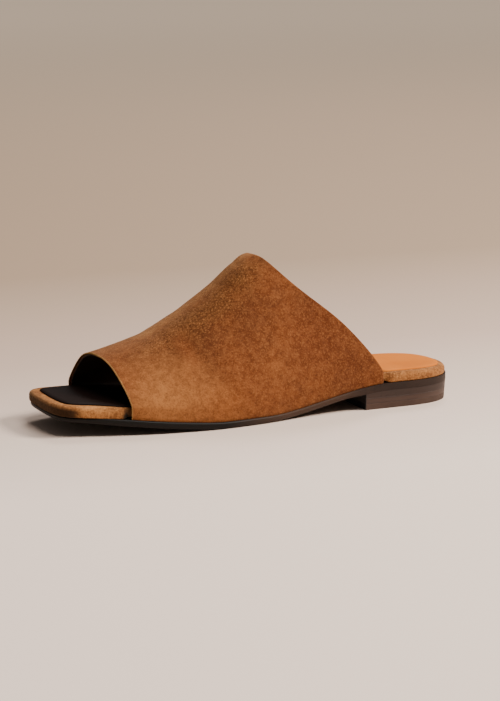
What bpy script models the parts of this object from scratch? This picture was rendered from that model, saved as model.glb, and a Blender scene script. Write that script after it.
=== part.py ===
"""A left open-toe mule: a wide suede band over a wrapped footbed, a thin outsole and a low heel.

Frame: +X from heel to toe, +Y to the outer side of the foot, +Z up, in metres. While it is being
modelled the back of the heel is at X = 0. The finished shoe hangs under one empty, which moves the
origin to the floor under the middle of the shoe.
"""

import math

import bmesh
import bpy
from mathutils import Vector

MM = 0.001

# Overall sizes: LENGTH is that of the wrapped footbed and BALL_WIDTH is taken over the band. The
# inner side reaches TOE_SLANT further forward than the outer one across a full ball width.
LENGTH = 258 * MM
BALL_WIDTH = 82 * MM
TOE_SLANT = 4 * MM
INSTEP_HEIGHT = 94.5 * MM
OPENING_HEIGHT = 41 * MM

# Sole and heel
SOLE_THICKNESS = 4 * MM
TOE_THICKNESS = 2.6 * MM
TOE_SPRING = 10.3 * MM
SPRING_POWER = 1.15
HEEL_LENGTH = 64 * MM
BREAST_EDGE_MIN = 1 * MM
HEEL_HEIGHT = 11.2 * MM
SEAT_LENGTH = 45 * MM
TOP_PIECE_THICKNESS = 3.6 * MM
LOWER_LIFT_THICKNESS = 3 * MM
HEEL_TAPER = 0.7 * MM
EDGE_BEVEL = 0.22

# Footbed and sock
FOOTBED_THICKNESS = 6 * MM
FOOTBED_TOP_RADIUS = 2.8 * MM
FOOTBED_BOTTOM_RADIUS = 0.9 * MM
TOP_RADIUS_LIMIT = 0.7
REBATE_SLOPE = 1 * MM
HEEL_CUP_DEPTH = 1.2 * MM
HEEL_CUP_HALF_WIDTH = 28 * MM
SOCK_THICKNESS = 1 * MM
SOCK_INSET = 3.6 * MM
SOCK_EDGE_HEIGHT = 0.33 * MM
SOCK_EDGE_WIDTH = 0.5 * MM

# Upper
WALL = 2 * MM
LASTING_WIDTH = 10 * MM
LASTING_THICKNESS = 1.2 * MM
SIDE_HEIGHT = 6.6 * MM
CREST_SHIFT = 8 * MM
RIM_BULGE = 0.8 * MM

# Fits between the pieces
GAP = 0.3 * MM
SOLE_EDGE = 0.6 * MM
TOE_SETBACK = 0.8 * MM
NOTCH_CLEARANCE = 0.6 * MM
NOTCH_RUN = 4 * MM

# Stations along the shoe, as shares of LENGTH from the heel
HEEL_CUP_FULL = 0.075
HEEL_CUP_END = 0.325
TREAD_REAR = 0.50
TREAD_FRONT = 0.62
SLANT_START = 0.74
FRONT_EDGE_OUTER = 0.828
FRONT_EDGE_INNER = 0.882
FRONT_EDGE_BOW = 0.006
REAR_EDGE_SIDE = 0.204
REAR_EDGE_CREST = 0.489
REAR_EDGE_POWER = 1.21
CROWN_POWER = 4.2
SETBACK_START = 0.84
SETBACK_END = 0.95

# Plan of the shoe's side: station as a share of LENGTH, then the outer and inner half widths as
# shares of half the ball width. The first and last rows are the heel centre and the toe centre.
PLAN = (
    # along, outer, inner
    (0.000, 0.00, 0.00),
    (0.009, 0.27, 0.27),
    (0.034, 0.49, 0.49),
    (0.085, 0.65, 0.64),
    (0.165, 0.70, 0.68),
    (0.280, 0.73, 0.63),
    (0.400, 0.81, 0.60),
    (0.520, 0.95, 0.69),
    (0.620, 1.02, 0.84),
    (0.700, 1.02, 0.94),
    (0.780, 0.97, 0.95),
    (0.860, 0.87, 0.88),
    (0.925, 0.78, 0.77),
    (0.967, 0.71, 0.67),
    (0.990, 0.57, 0.52),
    (1.000, 0.00, 0.00),
)

# Sections of the upper: station as a share of LENGTH, crest height as a share of the rise from the
# toe opening to the instep, crest shift towards the big toe as a share of CREST_SHIFT, and how lean
# the outer and inner sides are, from 0 for a quarter of an ellipse to 1 for a straight side. The
# lean fades out towards the crest, at a rate set by CROWN_POWER, so that the crest stays round.
SECTIONS = (
    # along, rise, shift, outer lean, inner lean
    (0.15, 1.33, 0.20, 0.17, 0.28),
    (0.30, 1.31, 0.30, 0.18, 0.30),
    (0.42, 1.10, 0.40, 0.37, 0.32),
    (0.49, 0.98, 0.50, 0.46, 0.34),
    (0.53, 0.863, 0.55, 0.465, 0.35),
    (0.58, 0.65, 0.62, 0.46, 0.37),
    (0.65, 0.41, 0.70, 0.455, 0.42),
    (0.74, 0.165, 0.80, 0.45, 0.49),
    (0.83, 0.025, 0.90, 0.46, 0.56),
    (0.92, -0.065, 1.00, 0.46, 0.58),
)

# Mesh density, smoothing, and the steps used to find outline crossings and normals
PER_SPAN = 3
DENSE = 16
NOTCH_STEPS = 3
UPPER_ROWS = 28
ARCH_STEPS = 32
ROUND_STEPS = 3
OUTSOLE_COLUMNS = 1
FOOTBED_COLUMNS = 3
HALVINGS = 24
NORMAL_STEP = 1e-3
NO_WIDTH = 1e-9
SHARP_ANGLE = math.radians(38)


def interpolate(rows, along, column):
    """Smooth value of one column of a table at a station, by cubic Hermite spans."""
    last = len(rows) - 1
    i = 0
    while i < last - 1 and rows[i + 1][0] < along:
        i += 1
    xs = [row[0] for row in rows]
    ys = [row[column] for row in rows]

    def slope(j):
        if j == 0:
            return (ys[1] - ys[0]) / (xs[1] - xs[0])
        if j == last:
            return (ys[last] - ys[last - 1]) / (xs[last] - xs[last - 1])
        return (ys[j + 1] - ys[j - 1]) / (xs[j + 1] - xs[j - 1])

    span = xs[i + 1] - xs[i]
    t = min(1.0, max(0.0, (along - xs[i]) / span))
    h01 = t * t * (3 - 2 * t)
    return (
        (1 - h01) * ys[i]
        + h01 * ys[i + 1]
        + (t - 2 * t * t + t**3) * span * slope(i)
        + (t**3 - t * t) * span * slope(i + 1)
    )


def smoothstep(t):
    t = min(1.0, max(0.0, t))
    return t * t * (3 - 2 * t)


def catmull_rom(p0, p1, p2, p3, t):
    """A point of the centripetal Catmull-Rom span from p1 to p2."""
    knots = [0.0]
    for a, b in ((p0, p1), (p1, p2), (p2, p3)):
        knots.append(knots[-1] + math.sqrt((b - a).length))
    k0, k1, k2, k3 = knots
    k = k1 + t * (k2 - k1)
    a1 = p0 * ((k1 - k) / (k1 - k0)) + p1 * ((k - k0) / (k1 - k0))
    a2 = p1 * ((k2 - k) / (k2 - k1)) + p2 * ((k - k1) / (k2 - k1))
    a3 = p2 * ((k3 - k) / (k3 - k2)) + p3 * ((k - k2) / (k3 - k2))
    b1 = a1 * ((k2 - k) / (k2 - k0)) + a2 * ((k - k0) / (k2 - k0))
    b2 = a2 * ((k3 - k) / (k3 - k1)) + a3 * ((k - k1) / (k3 - k1))
    return b1 * ((k2 - k) / (k2 - k1)) + b2 * ((k - k1) / (k2 - k1))


def crossing(around, x):
    """Where the span between the two middle points reaches x, as a share of the span."""
    low, high = 0.0, 1.0
    rising = around[2].x > around[1].x
    for _ in range(HALVINGS):
        middle = (low + high) / 2
        if (catmull_rom(*around, middle).x < x) == rising:
            low = middle
        else:
            high = middle
    return low


def slanted(along, y):
    """X of a plan point: lines across the shoe slant towards the toe, where the inner side is longer."""
    slant = TOE_SLANT * smoothstep((along - SLANT_START) / (1 - SLANT_START))
    return along * LENGTH - slant * y / BALL_WIDTH


def plan_point(along, share):
    """A point of the plan, with its distance from the centre line as a share of half the ball width."""
    y = share * BALL_WIDTH / 2
    return Vector((slanted(along, y), y))


def plan_loop(per_span, stations=()):
    """The plan as a closed loop: heel centre, outer side, toe centre, inner side.

    A span that holds some of the stations gets points exactly there, and one between them.
    """
    outer = [plan_point(along, share) for along, share, _ in PLAN]
    inner = [plan_point(along, -share) for along, _, share in PLAN]
    controls = outer + inner[-2:0:-1]
    count = len(controls)
    loop = []
    for i in range(count):
        around = [controls[(i + j) % count] for j in (-1, 0, 1, 2)]
        ends = sorted((around[1].x, around[2].x))
        shares = [step / per_span for step in range(per_span)]
        inside = [crossing(around, x) for x in stations if ends[0] < x < ends[1]]
        if inside:
            cuts = sorted([0.0, 1.0] + inside)
            shares = [share for a, b in zip(cuts, cuts[1:]) for share in (a, (a + b) / 2)]
        loop += [catmull_rom(*around, share) for share in shares]
    return loop


def offset(loop, distance):
    """The loop moved outwards along its normals by distance(x, y), or inwards where that is negative."""
    moved = []
    for i, point in enumerate(loop):
        along = (loop[(i + 1) % len(loop)] - loop[i - 1]).normalized()
        moved.append(point + Vector((-along.y, along.x)) * distance(point.x, point.y))
    return moved


def halves(loop):
    """The outer and the inner side of a loop, each from heel to toe."""
    middle = len(loop) // 2
    return loop[: middle + 1], [loop[0]] + loop[:middle - 1:-1]


def half_width(side, x):
    """Distance from the centre line to one side of a dense outline at x."""
    for a, b in zip(side, side[1:]):
        if a.x <= x <= b.x:
            return abs(a.y + (b.y - a.y) * (x - a.x) / max(b.x - a.x, NO_WIDTH))
    return 0.0


def sole_floor(x):
    """Height of the outsole's underside: heel seat, shank, flat tread and toe spring."""
    tread_rear = TREAD_REAR * LENGTH
    tread_front = TREAD_FRONT * LENGTH
    if x <= tread_front:
        return HEEL_HEIGHT * (1 - smoothstep((x - SEAT_LENGTH) / (tread_rear - SEAT_LENGTH)))
    return TOE_SPRING * ((x - tread_front) / (LENGTH - tread_front)) ** SPRING_POWER


def sole_thickness(x):
    """Thickness of the outsole, skived thinner towards the toe."""
    share = (x / LENGTH - SETBACK_START) / (1 - SETBACK_START)
    return SOLE_THICKNESS + (TOE_THICKNESS - SOLE_THICKNESS) * smoothstep(share)


def sole_top(x):
    return sole_floor(x) + sole_thickness(x)


def notch_ends(y):
    """The rear and the front end of the stretch of footbed that the band covers, on the side of y."""
    reach = RIM_BULGE + NOTCH_CLEARANCE
    front = FRONT_EDGE_OUTER if y > 0 else FRONT_EDGE_INNER
    return REAR_EDGE_SIDE * LENGTH - reach, front * LENGTH + reach


def notch_stations():
    """Stations of the footbed's outline at the ends of the covered stretches and along their ramps."""
    steps = [NOTCH_RUN * step / NOTCH_STEPS for step in range(NOTCH_STEPS + 1)]
    rear, front_outer = notch_ends(1)
    front_inner = notch_ends(-1)[1]
    fronts = [x + step for x in (front_outer, front_inner) for step in steps]
    return [rear - step for step in steps] + fronts


def covered(x, y):
    """1 where the band covers the footbed's side, falling to 0 over NOTCH_RUN past each end."""
    rear, front = notch_ends(y)
    past = max(rear - x, x - front, 0.0)
    return 1 - smoothstep(past / NOTCH_RUN)


def sole_margin(x):
    """How far the outsole stands out past the plan, or stays inside it at the toe."""
    toe = smoothstep((x / LENGTH - SETBACK_START) / (SETBACK_END - SETBACK_START))
    return SOLE_EDGE * (1 - toe) - TOE_SETBACK * toe


def footbed_edge(x, y, inset=0.0):
    """How far the footbed stays inside the plan, as an offset: it makes room for the band."""
    return -(GAP + WALL) * covered(x, y) - inset


def footbed_top(x, y):
    """Height of the footbed's upper face, hollowed a little under the heel of the foot."""
    along = smoothstep((HEEL_CUP_END - x / LENGTH) / (HEEL_CUP_END - HEEL_CUP_FULL))
    across = max(0.0, 1 - (y / HEEL_CUP_HALF_WIDTH) ** 2)
    return sole_top(x) + GAP + FOOTBED_THICKNESS - HEEL_CUP_DEPTH * along * across


def new_object(name, points, faces, material):
    """A shaded mesh object from points and faces, with its faces turned outwards."""
    mesh = bpy.data.meshes.new(name)
    mesh.from_pydata([tuple(p) for p in points], [], faces)
    shell = bmesh.new()
    shell.from_mesh(mesh)
    bmesh.ops.recalc_face_normals(shell, faces=shell.faces)
    if shell.calc_volume(signed=True) < 0:
        bmesh.ops.reverse_faces(shell, faces=shell.faces)
    shell.to_mesh(mesh)
    shell.free()
    mesh.shade_smooth()
    mesh.set_sharp_from_angle(angle=SHARP_ANGLE)
    mesh.materials.append(material)
    made = bpy.data.objects.new(name, mesh)
    bpy.context.scene.collection.objects.link(made)
    return made


def rungs_of(count, closed):
    """Index pairs that join the outer side to the inner side of a loop, from the heel on."""
    if closed:
        return [(k, (count - k) % count) for k in range(count // 2 + 1)]
    return [(0, 0)] + [(k, count - k) for k in range(1, count // 2 + 1)]


def slab(name, rings, columns, heights, material, closed=True):
    """A plate between outline rings, listed from its underside up, with ladder-filled faces.

    rings holds (loop, height function of x and y). heights gives the two functions that the
    bottom and top faces follow, and columns the inner points across each rung.
    """
    points = []
    starts = []
    for loop, height in rings:
        starts.append(len(points))
        points += [Vector((p.x, p.y, height(p.x, p.y))) for p in loop]
    count = len(rings[0][0])
    faces = []
    for low, high in zip(starts, starts[1:]):
        for i in range(count):
            j = (i + 1) % count
            faces.append((low + i, low + j, high + j, high + i))
    rungs = rungs_of(count, closed)
    for start, height in ((starts[0], heights[0]), (starts[-1], heights[1])):
        rows = []
        for outer, inner in rungs:
            ends = points[start + outer], points[start + inner]
            row = [start + outer]
            if outer != inner:
                for column in range(1, columns + 1):
                    p = ends[0].lerp(ends[1], column / (columns + 1))
                    row.append(len(points))
                    points.append(Vector((p.x, p.y, height(p.x, p.y))))
                row.append(start + inner)
            rows.append(row)
        for near, far in zip(rows, rows[1:]):
            if len(near) == 1:
                faces += [(near[0], a, b) for a, b in zip(far, far[1:])]
            elif len(far) == 1:
                faces += [(far[0], a, b) for a, b in zip(near, near[1:])]
            else:
                for i in range(len(near) - 1):
                    faces.append((near[i], near[i + 1], far[i + 1], far[i]))
    return new_object(name, points, faces, material)


def make_material(name, colour, roughness):
    material = bpy.data.materials.new(name)
    material.use_nodes = True
    shader = material.node_tree.nodes["Principled BSDF"]
    shader.inputs["Base Color"].default_value = (*colour, 1)
    shader.inputs["Roughness"].default_value = roughness
    shader.inputs["Metallic"].default_value = 0
    return material


def make_outsole(plan, material):
    """A thin sole with a rounded upper edge and a bevelled lower edge."""
    edge = offset(plan, lambda x, y: sole_margin(x))
    bevelled = offset(plan, lambda x, y: sole_margin(x) - EDGE_BEVEL * sole_thickness(x))
    rings = (
        (bevelled, lambda x, y: sole_floor(x)),
        (edge, lambda x, y: sole_floor(x) + EDGE_BEVEL * sole_thickness(x)),
        (edge, lambda x, y: sole_top(x) - EDGE_BEVEL * sole_thickness(x)),
        (bevelled, lambda x, y: sole_top(x)),
    )
    faces = (lambda x, y: sole_floor(x), lambda x, y: sole_top(x))
    return slab("outsole", rings, OUTSOLE_COLUMNS, faces, material)


def heel_loop(plan, inset):
    """The heel's outline: the back of the sole's outline, cut straight at the breast."""
    outer, inner = halves(offset(plan, lambda x, y: sole_margin(x) - inset))
    sides = []
    for side in (outer, inner):
        kept = [p for p in side if p.x < HEEL_LENGTH - BREAST_EDGE_MIN]
        after = side[len(kept)]
        t = (HEEL_LENGTH - kept[-1].x) / (after.x - kept[-1].x)
        sides.append(kept + [kept[-1].lerp(after, t)])
    return sides[0] + sides[1][:0:-1]


def make_heel(plan, materials):
    """Two leather lifts and a rubber top piece. The upper lift is a wedge under the sloping seat."""
    lift_base = TOP_PIECE_THICKNESS + GAP
    wedge_base = lift_base + LOWER_LIFT_THICKNESS + GAP
    layers = (
        ("heel_top_piece", lambda x, y: 0.0, lambda x, y: TOP_PIECE_THICKNESS, materials["rubber"]),
        (
            "heel_lower_lift",
            lambda x, y: lift_base,
            lambda x, y: lift_base + LOWER_LIFT_THICKNESS,
            materials["heel"],
        ),
        (
            "heel_upper_lift",
            lambda x, y: wedge_base,
            lambda x, y: sole_floor(x) - GAP,
            materials["heel"],
        ),
    )
    made = []
    for name, low, high, material in layers:
        insets = [GAP + HEEL_TAPER * (1 - z(0, 0) / HEEL_HEIGHT) for z in (low, high)]
        rings = ((heel_loop(plan, insets[0]), low), (heel_loop(plan, insets[1]), high))
        made.append(slab(name, rings, 0, (low, high), material, closed=False))
    return made


def make_footbed(plan, material):
    """The wrapped footbed, with a rounded upper edge and a rebate below for the lasted margin."""
    rebate_width = LASTING_WIDTH + GAP
    rebate_height = LASTING_THICKNESS + GAP
    side = FOOTBED_THICKNESS - rebate_height
    top = min(FOOTBED_TOP_RADIUS, TOP_RADIUS_LIMIT * side)
    bottom = min(FOOTBED_BOTTOM_RADIUS, (1 - TOP_RADIUS_LIMIT) * side)

    def base(x):
        return sole_top(x) + GAP

    def rebated(x, y):
        return base(x) + rebate_height * covered(x, y)

    def ring(inset, height):
        return offset(plan, lambda x, y: footbed_edge(x, y, inset)), height

    rings = [
        (offset(plan, lambda x, y: -rebate_width - REBATE_SLOPE), lambda x, y: base(x)),
        (offset(plan, lambda x, y: -rebate_width), rebated),
    ]
    for step in range(ROUND_STEPS):
        angle = math.pi / 2 * step / (ROUND_STEPS - 1)
        lift = bottom * (1 - math.cos(angle))
        rings.append(ring(bottom * (1 - math.sin(angle)), lambda x, y, z=lift: rebated(x, y) + z))
    for step in range(ROUND_STEPS + 1):
        angle = math.pi / 2 * step / ROUND_STEPS
        drop = top * (1 - math.sin(angle))
        rings.append(ring(top * (1 - math.cos(angle)), lambda x, y, z=drop: footbed_top(x, y) - z))
    return slab("footbed", rings, FOOTBED_COLUMNS, (lambda x, y: base(x), footbed_top), material)


def make_sock(plan, material):
    """The leather sock that covers the footbed inside its rounded edge."""
    edge = offset(plan, lambda x, y: footbed_edge(x, y, SOCK_INSET))
    crown = offset(plan, lambda x, y: footbed_edge(x, y, SOCK_INSET + SOCK_EDGE_WIDTH))

    def under(x, y):
        return footbed_top(x, y) + GAP

    def upper(x, y):
        return under(x, y) + SOCK_THICKNESS

    rings = ((edge, under), (edge, lambda x, y: upper(x, y) - SOCK_EDGE_HEIGHT), (crown, upper))
    return slab("sock", rings, FOOTBED_COLUMNS, (under, upper), material)


def upper_point(sides, share, angle):
    """A point of the upper's outer face: share 0 to 1 from toe edge to rear edge, angle 0 to pi
    from the outer side over the crest to the inner side."""
    lift = max(0.0, math.sin(angle))
    inwards = (1 - math.cos(angle)) / 2
    front = FRONT_EDGE_OUTER + (FRONT_EDGE_INNER - FRONT_EDGE_OUTER) * inwards + FRONT_EDGE_BOW * lift
    rear = REAR_EDGE_SIDE + (REAR_EDGE_CREST - REAR_EDGE_SIDE) * lift**REAR_EDGE_POWER
    along = front + (rear - front) * share
    x = along * LENGTH
    crest_top = OPENING_HEIGHT + (INSTEP_HEIGHT - OPENING_HEIGHT) * interpolate(SECTIONS, along, 1)
    crest_y = -CREST_SHIFT * interpolate(SECTIONS, along, 2)
    side_top = sole_top(x) + GAP + SIDE_HEIGHT
    if angle <= math.pi / 2:
        reach = half_width(sides[0], x) - crest_y
        lean = interpolate(SECTIONS, along, 3)
    else:
        reach = -half_width(sides[1], x) - crest_y
        lean = interpolate(SECTIONS, along, 4)
    lean *= 1 - lift**CROWN_POWER
    aside = abs(math.cos(angle))
    y = crest_y + reach * ((1 - lean) * aside + lean * aside**2)
    rise = (1 - lean) * lift + lean * lift**2
    return Vector((x, y, side_top + (crest_top - side_top) * rise))


def upper_normal(sides, share, angle):
    """Outward unit normal of the upper's outer face."""
    a = min(max(angle, NORMAL_STEP), math.pi - NORMAL_STEP)
    along = upper_point(sides, share + NORMAL_STEP, a) - upper_point(sides, share - NORMAL_STEP, a)
    across = upper_point(sides, share, a + NORMAL_STEP) - upper_point(sides, share, a - NORMAL_STEP)
    return along.cross(across).normalized()


def upper_section(sides, share):
    """One row of the upper as a closed loop: outer face, inner lasted margin, inner face, outer margin."""
    angles = [math.pi * j / ARCH_STEPS for j in range(ARCH_STEPS + 1)]
    outer = [upper_point(sides, share, a) for a in angles]
    normals = [upper_normal(sides, share, a) for a in angles]
    for end in (0, -1):
        normals[end].z = 0
        normals[end].normalize()
    inner = [p - n * WALL for p, n in zip(outer, normals)]
    flanges = []
    for end in (0, -1):
        foot = outer[end].copy()
        foot.z = sole_top(foot.x) + GAP
        corner = foot - normals[end] * WALL
        corner.z = foot.z + LASTING_THICKNESS
        tip = foot - normals[end] * LASTING_WIDTH
        tip.z = sole_top(tip.x) + GAP
        tip_top = tip.copy()
        tip_top.z += LASTING_THICKNESS
        flanges.append((foot, tip, tip_top, corner))
    first, last = flanges
    outer = [first[0]] + outer + [last[0]]
    inner = [first[3]] + inner + [last[3]]
    return outer, inner, first[1:3], last[1:3]


def make_upper(material):
    """The band: outer face, inner face, the margins lasted under the footbed, and rounded rims."""
    sides = halves(plan_loop(DENSE))
    sections = [upper_section(sides, row / UPPER_ROWS) for row in range(UPPER_ROWS + 1)]
    points = []
    rows = []
    for outer, inner, first, last in sections:
        loop = outer + [last[0], last[1]] + inner[::-1] + [first[1], first[0]]
        rows.append(list(range(len(points), len(points) + len(loop))))
        points += loop
    faces = []
    size = len(rows[0])
    for near, far in zip(rows, rows[1:]):
        for i in range(size):
            j = (i + 1) % size
            faces.append((near[i], near[j], far[j], far[i]))
    wide = len(sections[0][0])
    for row, beside in ((rows[0], rows[1]), (rows[-1], rows[-2])):
        outer = row[:wide]
        inner = row[wide + 2 : 2 * wide + 2][::-1]
        ahead = beside[:wide]
        rim = []
        for a, b, c in zip(outer, inner, ahead):
            away = (points[a] - points[c]).normalized()
            rim.append(len(points))
            points.append((points[a] + points[b]) / 2 + away * RIM_BULGE)
        for i in range(wide - 1):
            faces.append((outer[i], outer[i + 1], rim[i + 1], rim[i]))
            faces.append((rim[i], rim[i + 1], inner[i + 1], inner[i]))
        faces.append((outer[-1], row[wide], row[wide + 1], inner[-1], rim[-1]))
        faces.append((outer[0], row[-1], row[-2], inner[0], rim[0]))
    return new_object("upper", points, faces, material)


def set_on_floor(pieces):
    """Hangs the pieces under an empty that puts the origin on the floor under the shoe's middle."""
    bpy.context.view_layer.update()
    corners = [piece.matrix_world @ Vector(c) for piece in pieces for c in piece.bound_box]
    low = [min(c[i] for c in corners) for i in range(3)]
    high = [max(c[i] for c in corners) for i in range(3)]
    root = bpy.data.objects.new("mule", None)
    bpy.context.scene.collection.objects.link(root)
    root.location = (-(low[0] + high[0]) / 2, -(low[1] + high[1]) / 2, -low[2])
    for piece in pieces:
        piece.parent = root


def main():
    for old in list(bpy.data.objects):
        bpy.data.objects.remove(old)
    materials = {
        "suede": make_material("suede", (0.30, 0.12, 0.035), 0.9),
        "wrap": make_material("wrap_suede", (0.42, 0.20, 0.07), 0.9),
        "sock": make_material("sock_leather", (0.55, 0.27, 0.10), 0.55),
        "sole": make_material("sole_leather", (0.02, 0.017, 0.015), 0.5),
        "heel": make_material("stacked_leather", (0.055, 0.035, 0.028), 0.5),
        "rubber": make_material("heel_rubber", (0.06, 0.045, 0.04), 0.6),
    }
    plan = plan_loop(PER_SPAN)
    notched_plan = plan_loop(PER_SPAN, notch_stations())
    pieces = [
        make_outsole(plan, materials["sole"]),
        *make_heel(plan, materials),
        make_footbed(notched_plan, materials["wrap"]),
        make_sock(notched_plan, materials["sock"]),
        make_upper(materials["suede"]),
    ]
    set_on_floor(pieces)


main()
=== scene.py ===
"""The left mule shoe, dressed: suede band and lining, wrapped footbed, leather sock, dark sole and
stacked heel."""

import math

import bmesh
import bpy
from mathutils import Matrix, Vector, noise


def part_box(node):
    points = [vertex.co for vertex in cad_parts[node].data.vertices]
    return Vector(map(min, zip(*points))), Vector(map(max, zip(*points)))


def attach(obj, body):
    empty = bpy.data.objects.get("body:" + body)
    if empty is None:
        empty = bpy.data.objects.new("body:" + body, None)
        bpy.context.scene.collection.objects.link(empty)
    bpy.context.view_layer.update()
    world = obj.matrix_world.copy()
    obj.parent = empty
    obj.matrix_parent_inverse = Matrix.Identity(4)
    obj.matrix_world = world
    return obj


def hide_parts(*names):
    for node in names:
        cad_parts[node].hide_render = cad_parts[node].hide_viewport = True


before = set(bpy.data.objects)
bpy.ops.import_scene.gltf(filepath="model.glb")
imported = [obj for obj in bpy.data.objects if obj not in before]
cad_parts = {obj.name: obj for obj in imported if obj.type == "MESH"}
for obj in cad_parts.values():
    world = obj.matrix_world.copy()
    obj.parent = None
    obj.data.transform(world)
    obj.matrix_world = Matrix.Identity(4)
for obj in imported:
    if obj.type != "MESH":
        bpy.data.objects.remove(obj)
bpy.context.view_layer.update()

MM = 0.001

# Sizes of the shoe, as its solids have them
LENGTH = 258 * MM
BALL_WIDTH = 82 * MM
TOE_SLANT = 4 * MM
INSTEP_HEIGHT = 94.5 * MM
OPENING_HEIGHT = 41 * MM
SOLE_THICKNESS = 4 * MM
TOE_THICKNESS = 2.6 * MM
TOE_SPRING = 10.3 * MM
SPRING_POWER = 1.15
HEEL_LENGTH = 64 * MM
HEEL_HEIGHT = 11.2 * MM
SEAT_LENGTH = 45 * MM
TOP_PIECE_THICKNESS = 3.6 * MM
LOWER_LIFT_THICKNESS = 3 * MM
HEEL_TAPER = 0.7 * MM
FOOTBED_THICKNESS = 6 * MM
FOOTBED_TOP_RADIUS = 2.8 * MM
FOOTBED_BOTTOM_RADIUS = 0.9 * MM
HEEL_CUP_DEPTH = 1.2 * MM
HEEL_CUP_HALF_WIDTH = 28 * MM
SOCK_THICKNESS = 1 * MM
SOCK_INSET = 3.6 * MM
WALL = 2 * MM
LASTING_THICKNESS = 1.2 * MM
SIDE_HEIGHT = 6.6 * MM
CREST_SHIFT = 8 * MM
GAP = 0.3 * MM
SOLE_EDGE = 0.6 * MM
TOE_SETBACK = 0.8 * MM
NOTCH_CLEARANCE = 0.6 * MM
NOTCH_RUN = 4 * MM
RIM_BULGE = 0.8 * MM

HEEL_CUP_FULL = 0.075
HEEL_CUP_END = 0.325
TREAD_REAR = 0.50
TREAD_FRONT = 0.62
SLANT_START = 0.74
FRONT_EDGE_OUTER = 0.828
FRONT_EDGE_INNER = 0.882
FRONT_EDGE_BOW = 0.006
REAR_EDGE_SIDE = 0.204
REAR_EDGE_CREST = 0.489
REAR_EDGE_POWER = 1.21
CROWN_POWER = 4.2
SETBACK_START = 0.84
SETBACK_END = 0.95

PLAN = (
    # along, outer, inner
    (0.000, 0.00, 0.00),
    (0.009, 0.27, 0.27),
    (0.034, 0.49, 0.49),
    (0.085, 0.65, 0.64),
    (0.165, 0.70, 0.68),
    (0.280, 0.73, 0.63),
    (0.400, 0.81, 0.60),
    (0.520, 0.95, 0.69),
    (0.620, 1.02, 0.84),
    (0.700, 1.02, 0.94),
    (0.780, 0.97, 0.95),
    (0.860, 0.87, 0.88),
    (0.925, 0.78, 0.77),
    (0.967, 0.71, 0.67),
    (0.990, 0.57, 0.52),
    (1.000, 0.00, 0.00),
)

SECTIONS = (
    # along, rise, shift, outer lean, inner lean
    (0.15, 1.33, 0.20, 0.17, 0.28),
    (0.30, 1.31, 0.30, 0.18, 0.30),
    (0.42, 1.10, 0.40, 0.37, 0.32),
    (0.49, 0.98, 0.50, 0.46, 0.34),
    (0.53, 0.863, 0.55, 0.465, 0.35),
    (0.58, 0.65, 0.62, 0.46, 0.37),
    (0.65, 0.41, 0.70, 0.455, 0.42),
    (0.74, 0.165, 0.80, 0.45, 0.49),
    (0.83, 0.025, 0.90, 0.46, 0.56),
    (0.92, -0.065, 1.00, 0.46, 0.58),
)

# Soft troughs (negative) and ridges of the band: place as a share of LENGTH, place round the arch in
# degrees from the outer side, run and width in mm, turn of the run in degrees, and depth in mm
CREASES = (
    # along, round, run, width, turn, depth
    (0.66, 42, 34, 9, 62, -0.55),
    (0.60, 36, 36, 10, 58, 0.45),
    (0.72, 66, 30, 8, 80, -0.45),
    (0.53, 58, 30, 11, 40, -0.40),
    (0.45, 40, 26, 10, 30, 0.40),
    (0.38, 26, 24, 8, 20, -0.40),
    (0.70, 20, 26, 7, 100, 0.30),
    (0.64, 120, 34, 9, 110, -0.50),
    (0.56, 132, 30, 10, 120, 0.40),
    (0.74, 112, 26, 8, 95, -0.35),
    (0.48, 146, 24, 9, 140, -0.35),
)

# Steps of the fine mesh: per span of the plan, of the plan's dense copy that gives the band's half
# widths, from toe edge to rear edge, round the arch, down the skirts below it, and round an edge
PER_SPAN = 12
DENSE = 48
ROWS = 150
ARCH = 150
SKIRT = 8
EDGE_STEPS = 5
WRAP_STEPS = 7
SOCK_STEPS = 6
RIM_STEPS = 5

# Skins of the band: the suede's depth, and where the lining starts
SUEDE = 1.25 * MM
LINING_START = 1.3 * MM

# Creases fade out over these columns and rows at the band's edges
FADE_COLUMNS = 12
FADE_ROWS = 10
ARCH_RADIUS = 38 * MM

# The band's slow unevenness
WAVE_SCALE = 28
WAVE_HEIGHT = 0.35 * MM
SEED = 7

# The skirt ends a little over the sole, and turns in over its lowest part
SKIRT_FOOT = 0.1 * MM
TUCK = 0.55 * MM
TUCK_START = 0.72

# Close to the top of its rear edge the band levels out: the ridge and the outer shoulder are filled,
# each about an angle and over a spread in degrees
EASE_RUN = 9 * MM
EASE_RIDGE = 0.8 * MM
RIDGE_ANGLE = 97
RIDGE_SPREAD = 17
EASE_SHOULDER = 1.0 * MM
SHOULDER_ANGLE = 74
SHOULDER_SPREAD = 11

# Rounding of the sole's edge. It is square over the heel, and bevelled underneath along the waist.
SOLE_EDGES = (
    # share of LENGTH, lower and upper radius in mm
    (0.00, 0.08, 0.08),
    (0.25, 0.08, 0.08),
    (0.30, 3.00, 0.30),
    (0.45, 3.00, 0.50),
    (0.60, 1.20, 1.00),
    (1.00, 1.10, 1.00),
)
LEAST_RADIUS = 0.05

# Heel layers: eased edges, a step in from the sole's outline, and thin seams
LIFT_RADIUS = 0.06 * MM
HEEL_INSET = 0.1 * MM
HEEL_SEAM = 0.04 * MM
SEAT_SEAM = 0.03 * MM
BREAST_CLEARANCE = 0.2 * MM

# The footbed and the sock lie this far over what carries them
SEATED = 0.05 * MM

# The first ring of the footbed's underside lies this far in from its edge
UNDER_MARGIN = 6 * MM

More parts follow.
